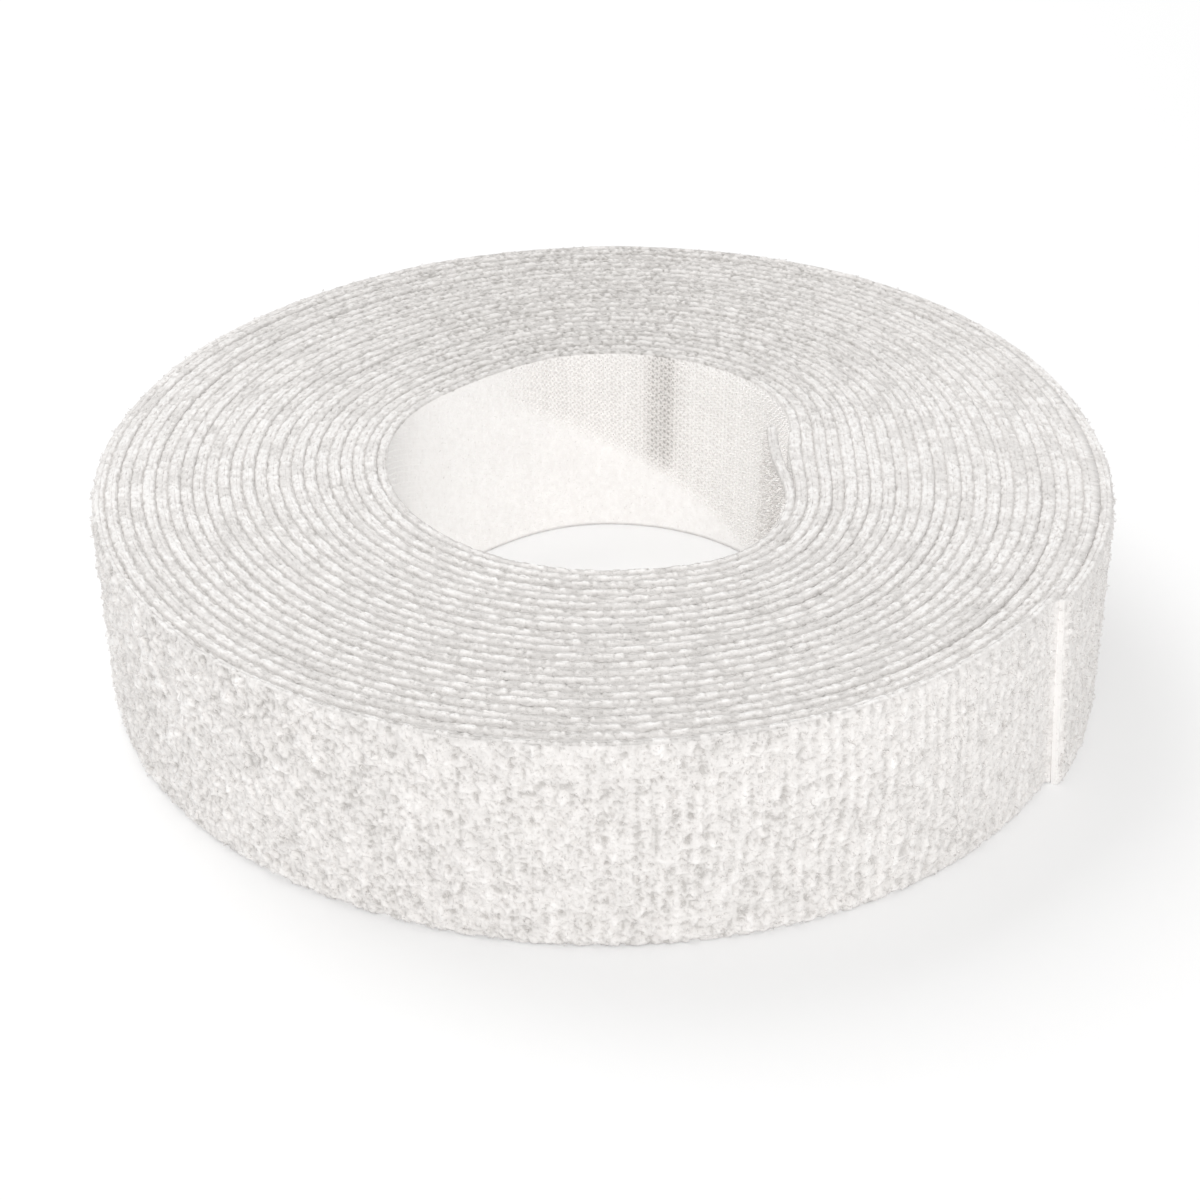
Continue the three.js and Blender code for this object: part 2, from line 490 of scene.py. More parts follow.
def tubes(name, centres, radii, flat_normal, sides, shade, material):
    """Closed tubes. centres is (tube, point, xyz), radii (tube, point), flat_normal (tube, xyz)
    the direction across the plane in which each tube bends, and shade one value per tube."""
    count, points, _ = centres.shape
    tangent = np.gradient(centres, axis=1)
    tangent /= np.linalg.norm(tangent, axis=-1, keepdims=True)
    normal = flat_normal[:, None]
    first = normal - tangent * (normal * tangent).sum(-1, keepdims=True)
    first /= np.linalg.norm(first, axis=-1, keepdims=True)
    second = np.cross(tangent, first)
    turn = np.arange(sides) * 2 * math.pi / sides
    ring = first[:, :, None] * np.cos(turn)[:, None] + second[:, :, None] * np.sin(turn)[:, None]
    verts = (centres[:, :, None] + ring * radii[:, :, None, None]).reshape(-1, 3)

    base = np.arange(count)[:, None, None] * points * sides
    here = base + np.arange(points - 1)[:, None] * sides + np.arange(sides)
    beside = base + np.arange(points - 1)[:, None] * sides + (np.arange(sides) + 1) % sides
    quads = np.stack((here, beside, beside + sides, here + sides), -1).reshape(-1, 4)
    start_cap = base[:, 0] + np.arange(sides)[::-1]
    end_cap = base[:, 0] + (points - 1) * sides + np.arange(sides)
    faces = [quads, start_cap, end_cap]
    rounded = np.ones(sum(len(f) for f in faces), bool)
    per_point = np.repeat(shade, points * sides)
    uv = tube_map(count, points, turn)
    return make_object(name, verts, faces, rounded, uv, per_point, material)


# Tape edges. TOP_SHARES and FOOT_SHARES place the corners across an edge: 0 is the bond, 1 the end
# of the backing and 2 the end of the pile.
TOP_SHARES = (0, 0.22, 0.45, 0.72, 1, 1.25, 1.5, 1.75, 2)
FOOT_SHARES = (0, 1, 2)
EDGE_CELLS = ((0.26, 0.16, 1.0), (0.5, 0.3, 0.7), (1.6, 0.7, 0.3))
TOP_SEED = 31
FOOT_SEED = 41
FOOT_LIFT = 0.08


def edge_sway(length, seed):
    """How far the edge of a turn stands out of level, since the roll was wound by hand."""
    return 0.11 * noise(seed, length / 37) + 0.05 * noise(seed + 1, length / 6.3)


def edge_breaks(length, slack, back):
    """1 where the crest of an edge is broken: between short dashes where the turns are slack and
    between longer slabs where they are tight. The dashes are shorter at the back of the roll."""
    dash = (1 - 0.6 * back) * noise(22, length / 0.9) + (0.8 + 0.4 * back) * noise(23, length / 0.3)
    dash = smooth((dash + 0.25) / 0.35)
    slab = noise(24, length / 2.4) + 0.6 * noise(25, length / 0.7)
    slab = smooth((slab + 0.5) / 0.4)
    return slack * (1 - dash) + (1 - slack) * (1 - slab)


def edge_profile(length, offset, low, high):
    """How far a tape edge lies below its crest, at offsets from the bond, and how light it is. At
    the sides of the roll the crest is a broad slab. At its front and back the turns are slacker,
    so the cut pile falls away on both sides of a narrow crest that shows as short dashes. The
    lightness is painted light and shade: painted shade on the flanks, in the grooves between turns
    and in pits, more at the front and back where the flanks face away from the light and over the
    back of the roll, and painted light on the crests."""
    angle = around(length)
    slack = np.sin(angle) ** 2
    back = smooth(np.sin(angle))
    slant = np.abs(np.sin(2 * angle)) * (1 - back)
    loose = 1 - sealing(length)

    middle, half = (low + high) / 2, (high - low) / 2
    away = np.abs(offset - middle) / half
    away = away + 0.2 * noise(20, length / 0.4, np.sign(offset - middle)) * loose
    start = 0.62 - 0.5 * slack + 0.05 * slant
    flank = smooth((away - start) / (0.34 + 0.3 * slack - 0.17 * slant)) * loose
    gap = edge_breaks(length, slack, back) * loose
    grain = mottle(26, length, offset, EDGE_CELLS) * loose
    speck = noise(29, length / 0.3, offset / 0.2)
    pits = smooth((speck - 0.45 + 0.15 * back) / 0.15) * loose

    depth = (0.09 + 0.05 * slack) * flank + (0.02 + 0.05 * slack) * gap
    depth = depth - 0.035 * grain + 0.1 * pits
    # Painted light on the crests and painted shade in the valleys and pits. The back of the roll is
    # painted darker, and the valleys are darker at the front and back and lighter on the right.
    crest = 1.08 - 0.1 * back + 0.05 * slant - (0.2 + 0.22 * slack) * gap
    valley = 0.62 - 0.06 * slack - 0.1 * back - 0.07 * slant + 0.09 * lobe(angle, 0, 45)
    shade = crest + (valley - crest) * flank + 0.16 * grain - (0.3 + 0.2 * back) * pits
    return depth, np.clip(shade, 0, WHITE_SHADE)


def edge_height(lengths, depth, is_top):
    """Height of an edge of the tape that lies some depth inside its crest."""
    if is_top:
        return TAPE_WIDTH + edge_sway(lengths, TOP_SEED)[:, None] - depth
    sway = edge_sway(lengths, FOOT_SEED)[:, None]
    return np.maximum(FOOT_LIFT + 0.5 * sway + 0.8 * depth, 0)


def edge_columns(limit, backing, shares, nicks):
    """Offsets across one ply, from the bond to the end of its pile, which nicks cut short."""
    shares = np.asarray(shares, float)
    pile = np.maximum(shares - 1, 0) * (1 - nicks[:, None]) * (limit - backing)[:, None]
    return np.minimum(shares, 1) * backing + pile


def edge_rings(lengths, ply):
    """Offset, height and shade of the upper and the lower edge of a ply, bond first."""
    low, high = pile_limits(lengths)
    limit, backing = (low, -HOOK_BACKING) if ply == "hook" else (high, LOOP_BACKING)
    slack = np.sin(around(lengths)) ** 2
    nicks = 0.4 * slack * np.maximum(noise(28, lengths / 0.6, backing), 0) * (1 - sealing(lengths))
    edges = []
    for shares, is_top in ((TOP_SHARES, True), (FOOT_SHARES, False)):
        offset = edge_columns(limit, backing, shares, nicks * is_top)
        depth, shade = edge_profile(lengths[:, None], offset, low[:, None], high[:, None])
        edges.append((offset, edge_height(lengths, depth, is_top), shade))
    return edges


def plain_ply(name, ply, start, end, spacing, rows, material):
    """One ply of a stretch of tape whose faces are pressed against the turns beside it."""
    lengths = rulings(start, end, spacing)
    top, foot = edge_rings(lengths, ply)
    foot_widths = [1] * (len(FOOT_SHARES) - 1)
    top_widths = [3] * (len(TOP_SHARES) - 1)
    if ply == "loop":
        ring = [np.concatenate((f, t[:, ::-1]), 1) for f, t in zip(foot, top)]
        widths = [*foot_widths, 3, *top_widths, 1]
        bond_side = -1
    else:
        ring = [np.concatenate((f[:, ::-1], t), 1) for f, t in zip(foot, top)]
        widths = [*foot_widths, 1, *top_widths, 3]
        bond_side = len(FOOT_SHARES) - 1
    return sweep(name, lengths, *ring, widths, bond_side, rows, material)


# Open hook side. In the bore a patch is painted darker, the hooks were pressed flat left of and below a
# slanting line, and their pattern is faint beside the inner end. The places along the tape are steps,
# and the spreads and heights millimetres.
DARK_PATCH_STEP = 19.47
DARK_PATCH_SPREAD = 1.4
DARK_PATCH_FOOT = 6.0
LINE_STEP = 17.4
LINE_HEIGHT = 12.1
LINE_SLOPE = 0.56
FAINT_STEP = 23.4
FAINT_SPREAD = 10.0

# Distance between hooks along and across the tape, the height of the lowest one, and the stretch
# beside the outer cut that has none.
HOOK_ALONG = 0.42
HOOK_ACROSS = 0.6
LOWEST_HOOK = 0.45
HOOKLESS = 0.8


def near_step(length, step, spread):
    """1 at a step and falling to 0 at lengths beside it."""
    return np.exp(-(((length - length_at(step)) / spread) ** 2))


def dark_patch(length, z):
    """1 in a patch of the bore that is painted darker, on its hooks and most in the gaps between them,
    where it is painted shade.
    """
    return near_step(length, DARK_PATCH_STEP, DARK_PATCH_SPREAD) * smooth((z - DARK_PATCH_FOOT) / 4)


def pressed_flat(length, z):
    """1 where the hooks in the bore were pressed flat, left of and below a slanting line."""
    past = length - length_at(LINE_STEP)
    raised = smooth((z - (LINE_HEIGHT - LINE_SLOPE * past)) / 2.5) * smooth((past + 7) / 8)
    inner_end = 1 - smooth((length - length_at(INNER_LINE)) / 4)
    return (1 - raised) * (1 - inner_end)


def shaded_end(length):
    """1 on the inner end, whose hooks are raised. Its face and hooks are painted darker there: painted
    shade, as the end faces away from the light.
    """
    return 1 - smooth((length - length_at(INNER_LINE - 0.5)) / 3)


def faint(length):
    """1 in the bore beside the inner end, where the pattern of the hooks is faint."""
    return near_step(length, FAINT_STEP, FAINT_SPREAD)


def hook_gap(length, z):
    """1 in the small gaps between neighbouring hooks, whose rows slant down along the tape. Painted
    shade goes there.
    """
    row = length / HOOK_ALONG
    column = (z - LOWEST_HOOK) / HOOK_ACROSS + row / 3
    between = (1 - np.cos(2 * math.pi * row)) * (1 - np.cos(2 * math.pi * column)) / 4
    return smooth((between - 0.2) / 0.4)


def bare_shade(length, z, weave):
    """How light the open face of the hook ply is, with painted shade between its hooks, over the inner
    end, in a dark patch and at the back of the bore.
    """
    # Painted shade in the gaps between raised hooks, less where they are pressed flat and beside the
    # inner end.
    gap = hook_gap(length, z) * (1 - pressed_flat(length, z)) * (1 - 0.6 * faint(length))
    # The inner end is painted darker: painted shade.
    shade = WHITE_SHADE + 0.05 * weave - 0.42 * gap - 0.45 * shaded_end(length)
    # Painted shade at the back of the bore, which the front lamp lights most.
    shade = shade - 0.09 * lobe(around(length), 95, 40)
    # A patch painted darker, most in the gaps between hooks as painted shade.
    shade = shade - dark_patch(length, z) * (0.25 + 0.9 * gap)
    return np.clip(shade, 0, WHITE_SHADE)


def bare_ply(name, start, end, rows):
    """The hook ply of a stretch of tape whose inner face can be open to the air. Where it lies on
    another turn, a lip of pressed pile is left along its edges. Its foot is pale and close to the
    floor."""
    lengths = rulings(start, end, BARE_SPACING)
    top, (foot_offset, foot_height, foot_shade) = edge_rings(lengths, "hook")
    foot = (foot_offset, 0.25 * foot_height, np.maximum(foot_shade, 1))
    levels = np.linspace(TAPE_WIDTH - 0.3, 0.4, math.ceil(TAPE_WIDTH / BARE_SPACING))
    along = lengths[:, None]
    weave = noise(61, along / 0.3, levels / 0.5)
    bare = -HOOK_BACKING - BARE_PILE
    lip = 1 - smooth((np.minimum(levels, TAPE_WIDTH - levels) - 0.5) / 0.6)
    face = bare + (pile_limits(along)[0] - bare) * lip + 0.02 * weave * (1 - sealing(along))
    side = (face, levels + 0 * along, bare_shade(along, levels, weave))
    ring = [np.concatenate((f[:, ::-1], t, s), 1) for f, t, s in zip(foot, top, side)]
    widths = [2] * len(FOOT_SHARES) + [2] * len(TOP_SHARES) + [1] * (len(levels) - 1) + [2]
    return sweep(name, lengths, *ring, widths, len(FOOT_SHARES) - 1, rows, HOOK_YARN)


# A hook follows HOOK_PATH, given as distances sideways and up from its root and then scaled.
HOOK_PATH = np.array(((0, -0.04), (0, 0.17), (0.05, 0.3), (0.16, 0.34), (0.23, 0.25)))
HOOK_RADII = np.array((0.1, 0.075, 0.068, 0.06, 0.04))
HOOK_SCALE = 0.35 / 0.36
HOOK_SIDES = 4


def hooks(name, start, end, seed):
    """Rows of small bent hooks on the inner face of the hook ply."""
    rng = np.random.default_rng(seed)
    first, last = math.ceil(start / HOOK_ALONG), math.ceil(end / HOOK_ALONG)
    rows = np.arange(first, min(last, math.floor((TAPE_LENGTH - HOOKLESS) / HOOK_ALONG)))
    columns = np.arange(round(TAPE_WIDTH / HOOK_ACROSS) - 1)
    row, column = (g.ravel() for g in np.meshgrid(rows, columns, indexing="ij"))
    count = len(row)
    length = row * HOOK_ALONG + rng.normal(0, 0.03, count)
    z = LOWEST_HOOK + (column + (-row % 3) / 3) * HOOK_ACROSS + rng.normal(0, 0.03, count)
    along, outward, up = directions(length)
    inward = -outward
    yaw = rng.normal(0, 0.3, count) + math.pi * (column % 2)
    lean = along * np.cos(yaw)[:, None] + up * np.sin(yaw)[:, None]
    size = HOOK_SCALE * rng.normal(1, 0.07, count)
    size = size * (1 - 0.35 * faint(length)) * (1 - 0.82 * pressed_flat(length, z))
    root = place(length, np.full(count, -HOOK_BACKING), z)
    path = lean[:, None] * HOOK_PATH[:, :1] + inward[:, None] * HOOK_PATH[:, 1:]
    centres = root[:, None] + size[:, None, None] * path
    radii = np.tile(HOOK_RADII, (count, 1))
    shade = WHITE_SHADE * rng.uniform(0.96, 1, count)
    # Hooks in the dark patch are painted darker.
    shade = shade - dark_patch(length, z) * rng.uniform(0, 0.7, count)
    # Hooks on the inner end are painted darker: painted shade.
    shade = shade - shaded_end(length) * rng.uniform(0, 0.6, count)
    shade = np.maximum(shade, 0)
    return tubes(name, centres, radii, np.cross(inward, lean), HOOK_SIDES, shade, HOOK_MOULD)


# Brushed pile on the outside. The map of its matted fibres has FELT_CELL between cells, and starts
# FELT_MARGIN before the pile does.
FELT_CELL = 0.1
FELT_MARGIN = 1.0
FELT_SEED = 7
FIBRES_PER_AREA = 5
FIBRE_SAMPLES = 14


def felt_map(start, end, seed):
    """Height of matted fibres over the outer face, as a grid of cells along and across the tape."""
    rng = np.random.default_rng(seed)
    shape = math.ceil((end - start) / FELT_CELL) + 1, math.ceil(TAPE_WIDTH / FELT_CELL) + 1
    count = int((end - start) * TAPE_WIDTH * FIBRES_PER_AREA)
    t = np.linspace(0, 1, FIBRE_SAMPLES)
    size = rng.uniform(0.8, 2.2, count)
    heading = rng.normal(math.pi / 2, 0.5, count)[:, None]
    heading = heading + (rng.normal(0, 0.7, count) * size)[:, None] * t
    stride = (size / FIBRE_SAMPLES)[:, None]
    s = rng.uniform(0, end - start, count)[:, None]
    s = s + np.cumsum(np.cos(heading), 1) * stride
    z = rng.uniform(-0.5, TAPE_WIDTH + 0.5, count)[:, None]
    z = z + np.cumsum(np.sin(heading), 1) * stride
    radius = rng.uniform(0.13, 0.22, count)[:, None]
    level = rng.uniform(0, 0.14, count)[:, None] + 0.08 * (4 * t * (1 - t))
    height = np.zeros(shape)
    for di in range(-2, 3):
        for dj in range(-2, 3):
            i = np.round(s / FELT_CELL).astype(int) + di
            j = np.round(z / FELT_CELL).astype(int) + dj
            away = (i * FELT_CELL - s) ** 2 + (j * FELT_CELL - z) ** 2
            inside = (away < radius**2) & (i >= 0) & (i < shape[0]) & (j >= 0) & (j < shape[1])
            rise = (level + np.sqrt(np.maximum(radius**2 - away, 0)))[inside]
            np.maximum.at(height, (i[inside], j[inside]), rise)
    return height


FELT_FROM = length_at(PILE_START) - FELT_MARGIN
FELT = felt_map(FELT_FROM, TAPE_LENGTH + FELT_MARGIN, FELT_SEED)


def felt_height(length, z):
    """Height of the matted fibres between the cells of their map."""
    u = np.clip((length - FELT_FROM) / FELT_CELL, 0, FELT.shape[0] - 1.001)
    v = np.clip(z / FELT_CELL, 0, FELT.shape[1] - 1.001)
    i, j = u.astype(int), v.astype(int)
    fu, fv = u - i, v - j
    felt = FELT[i, j] * (1 - fu) * (1 - fv) + FELT[i + 1, j] * fu * (1 - fv)
    return felt + FELT[i, j + 1] * (1 - fu) * fv + FELT[i + 1, j + 1] * fu * fv


# Upright ribs of the pile: their distance, and the angle and spread in degrees of the part of the
# roll where they show most. PATCH_CELLS are the sizes of its patches.
PILE_RIB = 1.25
RIBBED_ANGLE = -62
RIBBED_SPREAD = 36
PATCH_CELLS = ((0.55, 0.7, 0.7), (1.2, 1.5, 0.7), (3, 4, 0.3))


def clumps_along(length):
    """Lengths along the tape counted in clumps."""
    return np.interp(length, TABLE_LENGTH, CLUMP_COUNT)


def pile_strength(length):
    """How rough the brushed pile is. It is roughest on the left of the roll, and a little finer
    right of its front."""
    angle = around(length)
    side = np.cos(angle)
    return 0.87 - 0.33 * side * np.abs(side) - 0.1 * lobe(angle, -48, 22)


def pile_clumps(length, z):
    """Curled clumps of fibre in the brushed pile: from about -1 between them to 1 on them."""
    along = clumps_along(length)
    curl_along = along + 0.3 * noise(151, along / 0.8, z / 0.8)
    curl_across = z + 0.3 * noise(152, along / 0.8, z / 0.8)
    coarse = noise(153, curl_along / 0.52, curl_across / 0.52)
    return 0.9 * coarse + 0.6 * noise(154, curl_along / 0.27, curl_across / 0.27)


def pile_ribs(length, z):
    """Upright, broken ribs: from about -1 between them to 1 on them."""
    count = length / PILE_RIB + 0.5 * noise(51, length / 4, z / 6)
    rib = np.cos(2 * math.pi * count) * (0.6 + 0.6 * noise(52, np.floor(count + 0.5), z / 2.2))
    return rib * (0.2 + 0.8 * lobe(around(length), RIBBED_ANGLE, RIBBED_SPREAD))


def pile_tone_and_shade(length, z):
    """Tone of the brushed pile, 0 on its surface: painted light on its clumps and ribs, painted shade
    between them and in its pits, and patches of the pile's own tone.
    """
    along = clumps_along(length)
    rib = pile_ribs(length, z)
    patch = mottle(55, along, z, PATCH_CELLS)
    clumps = pile_clumps(length, z)
    hollow = noise(54, along / 0.25, z / 0.27) - 0.4 * rib - 0.25 * patch - 0.2 * clumps
    pits = smooth((hollow - 0.42) / 0.15)
    # Painted light on clumps and ribs, painted shade between them and in pits; the patches are the
    # pile's own tone.
    tone = 0.25 * patch + 0.42 * rib + 0.5 * clumps - 1.35 * pits
    return pile_strength(length) * tone


def open_pile(length, z):
    """Height of the brushed loops above their backing where nothing covers them."""
    height = 0.28 + 0.35 * felt_height(length, z) + 0.06 * noise(59, length / 1.4, z / 1.6)
    height = height + 0.17 * pile_strength(length) * pile_clumps(length, z)
    height = height + 0.06 * pile_tone_and_shade(length, z)
    rim = 0.4 + 0.6 * smooth(np.minimum(z, TAPE_WIDTH - z) / 0.7)
    return rim * height


def pile_height(length, z):
    """Height of the brushed loops above their backing. Under the outer end they are pressed, and
    beside its cut they reach up to it."""
    length, z = np.broadcast_arrays(length, z)
    under_cut = length_at(step_at(TAPE_LENGTH) - STEPS_PER_TURN)
    past_cut = length - under_cut - cut_slant(TAPE_LENGTH, z)
    free = smooth((past_cut + 0.7) / 1.2)
    pressed = pile_limits(length)[1] - LOOP_BACKING
    height = free * open_pile(length, z) + (1 - free) * pressed
    touch = turn_pitch(length, 1) - HOOK_BACKING - LOOP_BACKING
    against = np.exp(-((past_cut / np.where(past_cut > 0, 0.4, 0.8)) ** 2))
    return height + np.maximum(touch - height, 0) * against


def foot_notch(length):
    """How far the lower edge of the brushed pile is drawn up between its clumps."""
    return 0.22 * smooth((noise(65, length / 0.5) - 0.05) / 0.4)


def pile_shade(length, z, high):
    """How light the brushed pile is, with its surface at an offset from the bond. It has painted shade
    where the pile is low and over the front of the roll, which the front lamp lights most, and painted
    light at the left.
    """
    angle = around(length)
    # Painted shade over the front of the roll, which the front lamp lights most, and painted light at
    # the left.
    base = 0.965 - 0.07 * lobe(angle, -95, 38) + 0.03 * lobe(angle, 195, 45)
    # Painted shade where the pile is low.
    depth = 1 - smooth((high - LOOP_BACKING - 0.04) / 0.36)
    shade = base + 0.3 * pile_tone_and_shade(length, z) - 0.15 * depth
    return np.clip(shade, 0, WHITE_SHADE)


# Corners across the backing at an edge of the brushed ply, the offsets between which its profile
# is drawn, and how far the face of the pile stays from its edges.
PILED_SHARES = np.array((0, 0.5, 1))
PILED_LOW = -0.47
PILED_HIGH = LOOP_BACKING + 0.4
PILED_MARGIN = 0.12


def piled_edge(lengths, face, is_top):
    """Offset, height and shade of one edge of the brushed ply, bond first. Its last corner is the
    brow of the pile, which is drawn in where the pile is open to the air."""
    along = lengths[:, None]
    covered = 1 - smooth((along - length_at(STEP_COUNT - STEPS_PER_TURN)) / 2)
    rim = face[:, [-1 if is_top else 0]]
    brow = LOOP_BACKING + (0.5 + 0.5 * covered) * (rim - LOOP_BACKING)
    offset = np.concatenate((PILED_SHARES * LOOP_BACKING + 0 * along, brow), 1)
    depth, shade = edge_profile(along, offset, PILED_LOW, PILED_HIGH)
    height = edge_height(lengths, depth, is_top)
    if not is_top:
        height = height + foot_notch(along)
    return offset, height, shade


def piled_ply(name, start, end, rows):
    """The loop ply of a stretch of tape whose brushed pile is open to the air."""
    lengths = rulings(start, end, PILED_SPACING)
    along = lengths[:, None]
    levels = np.linspace(PILED_MARGIN, TAPE_WIDTH - PILED_MARGIN, math.ceil(TAPE_WIDTH / PILED_SPACING))
    high = LOOP_BACKING + pile_height(along, levels)
    ragged = along + 0.2 * noise(63, levels / 0.6)
    face = high + (LOOP_BACKING + SEALED_PILE - high) * thinning(ragged)
    lift = edge_sway(along, TOP_SEED) * smooth(levels / TAPE_WIDTH)
    lift = lift + foot_notch(along) * smooth(1 - levels / 1.2)
    foot = piled_edge(lengths, face, False)
    side = (face, levels + lift, pile_shade(along, levels, high))
    top = piled_edge(lengths, face, True)
    ring = [np.concatenate((f, s, t[:, ::-1]), 1) for f, s, t in zip(foot, side, top)]
    edge_widths = [2] * (len(PILED_SHARES) + 1)
    widths = [*edge_widths, *[1] * (len(levels) - 1), *edge_widths, 2]
    return sweep(name, lengths, *ring, widths, -1, rows, LOOP_YARN)


# Loose loops of fibre: their thickness, sides and points, how deep they root in the pile, and how
# near they come to the floor.
FIBRE_RADIUS = 0.036
FIBRE_SIDES = 3
FIBRE_POINTS = 6
FIBRE_ROOT = 0.1
FIBRE_FLOOR = 0.06


def scatter(start, end, low, high, spacing, seed):
    """Jittered points over a stretch of tape, one per cell: length, height and five random values."""
    rng = np.random.default_rng(seed)
    a = np.arange(start + spacing / 2, end, spacing)
    b = np.arange(low + spacing / 2, high, spacing)
    length, z = (g.ravel() for g in np.meshgrid(a, b, indexing="ij"))
    length = length + rng.uniform(-0.5, 0.5, len(length)) * spacing
    z = z + rng.uniform(-0.5, 0.5, len(z)) * spacing
    return np.clip(length, start + 0.05, end - 0.05), z, rng.uniform(-1, 1, (5, len(z)))


def fuzz(name, start, end, seed):
    """Single loops of fibre that stand out of the brushed pile."""
    length, z, chances = scatter(start, end, 0.35, TAPE_WIDTH - 0.3, FUZZ_SPACING, seed)
    turned, long, tall, curled, thick = chances
    along, outward, up = directions(length)
    rim = smooth((np.minimum(z, TAPE_WIDTH - z) - 0.1) / 0.8)[:, None]
    away = outward + up * (1 - rim) * np.where(z > TAPE_WIDTH / 2, 0.4, -0.2)[:, None]
    away /= np.linalg.norm(away, axis=1, keepdims=True)
    heading = turned * math.pi
    forward = along * np.cos(heading)[:, None] + up * np.sin(heading)[:, None]
    side = np.cross(away, forward)
    root = place(length, LOOP_BACKING + pile_height(length, z) - FIBRE_ROOT, z)
    reach = (0.32 + 0.14 * long)[:, None, None]
    rise = (0.16 + 0.07 * tall + 0.16 * smooth((tall - 0.7) / 0.2))[:, None, None]
    curl = (0.12 * curled)[:, None, None]
    t = np.linspace(0, 1, FIBRE_POINTS)[:, None]
    centres = root[:, None] + forward[:, None] * reach * (t - 0.5)
    centres = centres + away[:, None] * rise * np.sin(math.pi * t)
    centres = centres + side[:, None] * curl * np.sin(2 * math.pi * t)
    centres[..., 2] = np.maximum(centres[..., 2], FIBRE_FLOOR)
    radii = np.full(centres.shape[:2], FIBRE_RADIUS) * (1 + 0.25 * thick)[:, None]
    flat = side / np.linalg.norm(side, axis=1, keepdims=True)
    return tubes(name, centres, radii, flat, FIBRE_SIDES, 0.95 + 0.1 * thick, FIBRE)


# Pieces


def bend(obj):
    """Bakes a piece's place into its mesh."""
    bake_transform(obj)


def as_tape(obj, node, start, end, *pile):
    """Hides the CAD node that a strip of ply, cut to the width of the tape, stands for."""
    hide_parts(node)


def stretches(start_step, end_step, count):
    """Equal stretches of tape between two steps, numbered from 1: number, start and end."""
    ends = np.linspace(length_at(start_step), length_at(end_step), count + 1)
    return zip(range(1, count + 1), ends[:-1], ends[1:])


# Inner end, which peels into the bore.
start, end = 0.0, float(length_at(INNER_ROOT))
inner_hook = bare_ply("inner_end_hook_tape_cloth", start, end, rows=1)
inner_loop = plain_ply(
    "inner_end_loop_tape_cloth", "loop", start, end, HIDDEN_SPACING, rows=4, material=LOOP_YARN
)
inner_hooks = hooks("inner_end_hooks", start, end, seed=61)
for piece in (inner_hook, inner_loop, inner_hooks):
    bend(piece)
as_tape(inner_hook, "inner_end_hook_tape", start, end, inner_hooks)
as_tape(inner_loop, "inner_end_loop_tape", start, end)

# Wound turns. The hook ply of the first one is open to the bore.
bore_hooks = []
for number, start, end in stretches(INNER_ROOT, BORE_END, 3):
    bore_hooks.append(hooks(f"bore_hooks_{number}", start, end, seed=61 + number))
    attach(bore_hooks[-1], "roll")
start, end = (float(length_at(step)) for step in (INNER_ROOT, BORE_END))
piece = bare_ply("bore_hook_tape", start, end, rows=2)
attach(piece, "roll")
as_tape(piece, "wound_hook_tape", start, end, *bore_hooks)
for ply, first, last, yarn in (
    ("hook", BORE_END, OUTER_ROOT, HOOK_YARN),
    ("loop", INNER_ROOT, PILE_START, LOOP_YARN),
):
    node = f"wound_{ply}_tape"
    for number, start, end in stretches(first, last, 4):
        name = f"{node}_{number}"
        piece = plain_ply(name, ply, start, end, WOUND_SPACING, rows=40, material=yarn)
        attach(piece, "roll")
        as_tape(piece, node, start, end)

# Last turn, with its brushed pile, and the stretch that the outer end covers.
for number, start, end in stretches(PILE_START, OUTER_ROOT, 4):
    piece = piled_ply(f"last_turn_loop_tape_{number}", start, end, rows=2)
    uncovered = max(start, float(length_at(STEP_COUNT - STEPS_PER_TURN)))
    pile = fuzz(f"last_turn_pile_{number}", uncovered, end, seed=70 + number)
    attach(piece, "roll")
    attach(pile, "roll")
    as_tape(piece, "wound_loop_tape", start, end, pile)

# Outer end, which peels away in four bends. Its pieces part half way between the flex lines.
parts = [OUTER_ROOT, *(line + 0.5 for line in OUTER_LINES[:-1])]
parts = [*(float(length_at(step)) for step in parts), TAPE_LENGTH]
for number, line in enumerate(OUTER_LINES, 1):
    start, end = parts[number - 1 : number + 1]
    body = f"outer_end_{number}"
    hook = bare_ply(f"{body}_hook_tape_cloth", start, end, rows=1)
    loop = piled_ply(f"{body}_loop_tape_cloth", start, end, rows=1)
    under = hooks(f"{body}_hooks", start, end, seed=80 + number)
    pile = fuzz(f"{body}_pile", start, end, seed=90 + number)
    for piece in (hook, loop, under, pile):
        bend(piece)
    as_tape(hook, f"{body}_hook_tape", start, end, under)
    as_tape(loop, f"{body}_loop_tape", start, end, pile)


# Floor and light. PAPER_LIFT is how much brighter the floor is to the camera.
FLOOR_SIZE = 6
PAPER_TONE = 0.8
PAPER_LIFT = 0.21
SKY_STRENGTH = 0.55

# Camera, fitted to the photo: the point that it looks at, how far from it and how steeply above it
# the camera is, and its lens.
LENS = 69.35
SENSOR = 36
AIM = Vector((AXIS[0] - 0.4, AXIS[1], 3.85)) * MM
DISTANCE = 220.07 * MM
RISE = math.radians(33.34)


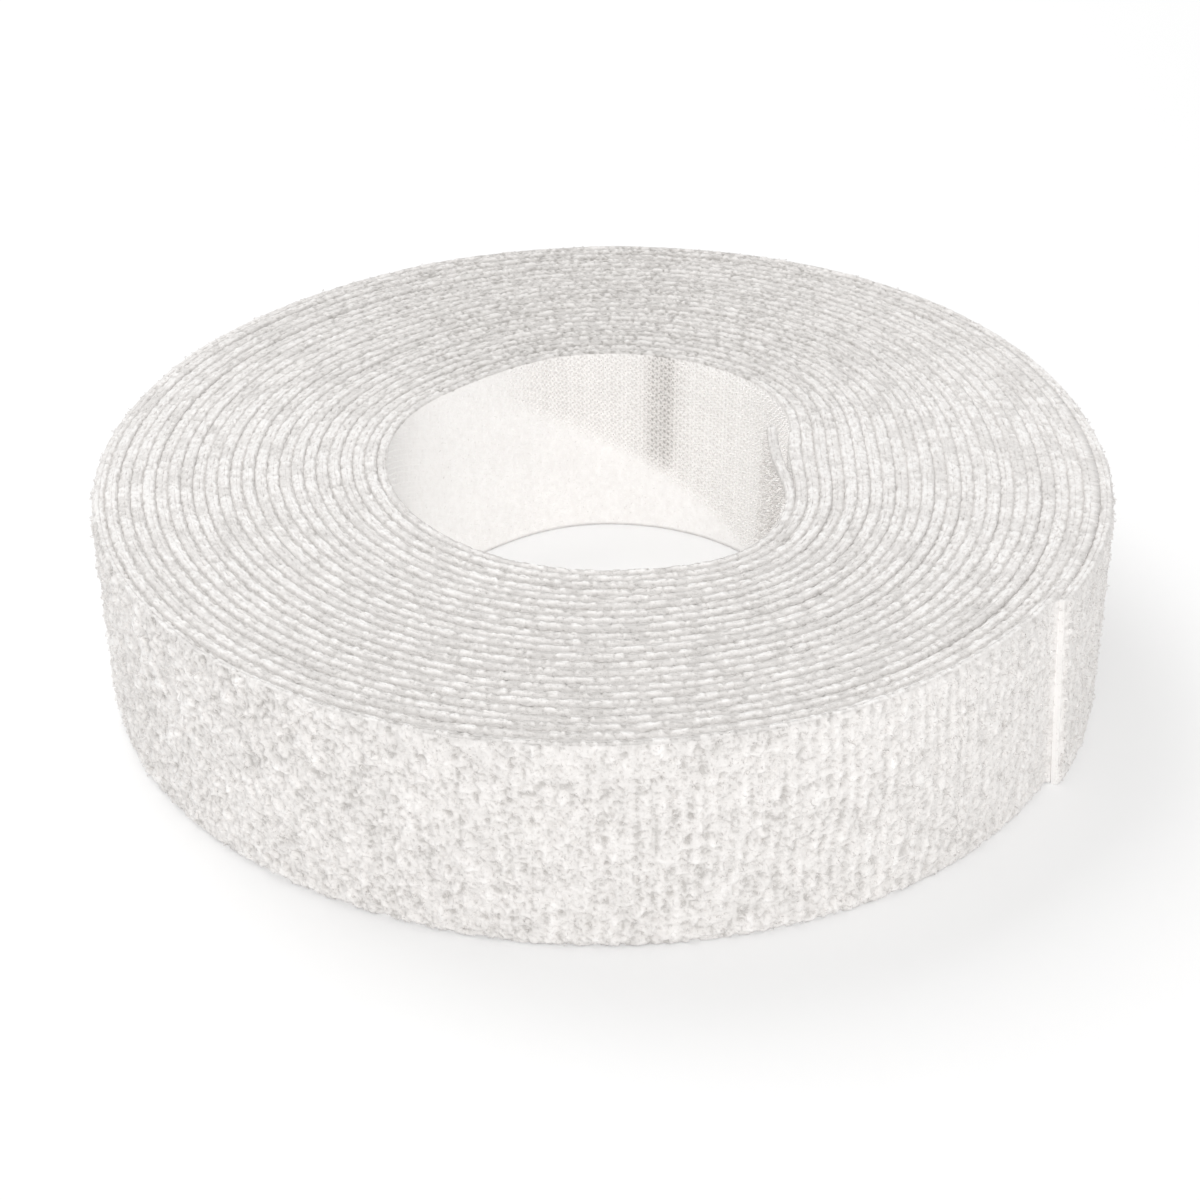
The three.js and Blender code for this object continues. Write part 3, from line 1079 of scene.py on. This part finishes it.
def floor_material():
    """Pale paper, a little brighter to the camera so that it meets the white background."""
    material = bpy.data.materials.new("paper")
    material.use_nodes = True
    tree = material.node_tree
    link = tree.links.new
    shader = tree.nodes["Principled BSDF"]
    shader.inputs["Base Color"].default_value = (PAPER_TONE, PAPER_TONE, PAPER_TONE, 1)
    shader.inputs["Roughness"].default_value = 0.9
    shader.inputs["Specular IOR Level"].default_value = 0.0
    shader.inputs["Emission Color"].default_value = (1, 1, 1, 1)
    seen = add_node(tree, "ShaderNodeLightPath")
    total = seen.outputs["Is Camera Ray"]
    for ray in ("Is Glossy Ray", "Is Transmission Ray"):
        either = add_node(tree, "ShaderNodeMath", operation="ADD")
        link(total, either.inputs[0])
        link(seen.outputs[ray], either.inputs[1])
        total = either.outputs["Value"]
    lift = add_node(tree, "ShaderNodeMapRange", {"To Max": PAPER_LIFT})
    link(total, lift.inputs["Value"])
    link(lift.outputs["Result"], shader.inputs["Emission Strength"])
    return material


def area_light(name, spot, size, power, shadow):
    """A square lamp that faces the roll. Places and sizes are metres."""
    data = bpy.data.lights.new(name, "AREA")
    data.size = size
    data.energy = power
    data.use_shadow = shadow
    lamp = bpy.data.objects.new(name, data)
    lamp.location = spot
    lamp.rotation_euler = (-Vector(spot)).to_track_quat("-Z", "Y").to_euler()
    bpy.context.scene.collection.objects.link(lamp)


bpy.ops.mesh.primitive_plane_add(size=FLOOR_SIZE)
floor = bpy.context.object
floor.name = "floor"
floor.data.materials.append(floor_material())

world = bpy.data.worlds.new("studio")
bpy.context.scene.world = world
world.use_nodes = True
sky = world.node_tree.nodes["Background"]
sky.inputs["Color"].default_value = (1, 1, 1, 1)
sky.inputs["Strength"].default_value = SKY_STRENGTH

area_light("key", (-0.29, 0.35, 0.6), size=0.5, power=2.3, shadow=True)
area_light("fill", (0.09, -0.85, 0.38), size=0.7, power=4.85, shadow=False)

camera_data = bpy.data.cameras.new("camera")
camera_data.sensor_width = SENSOR
camera_data.lens = LENS
camera_data.clip_start = 0.01
camera = bpy.data.objects.new("camera", camera_data)
bpy.context.scene.collection.objects.link(camera)
bpy.context.scene.camera = camera
camera.location = AIM + DISTANCE * Vector((0, -math.cos(RISE), math.sin(RISE)))
camera.rotation_euler = (AIM - camera.location).to_track_quat("-Z", "Y").to_euler()

bpy.context.scene.view_settings.view_transform = "Standard"
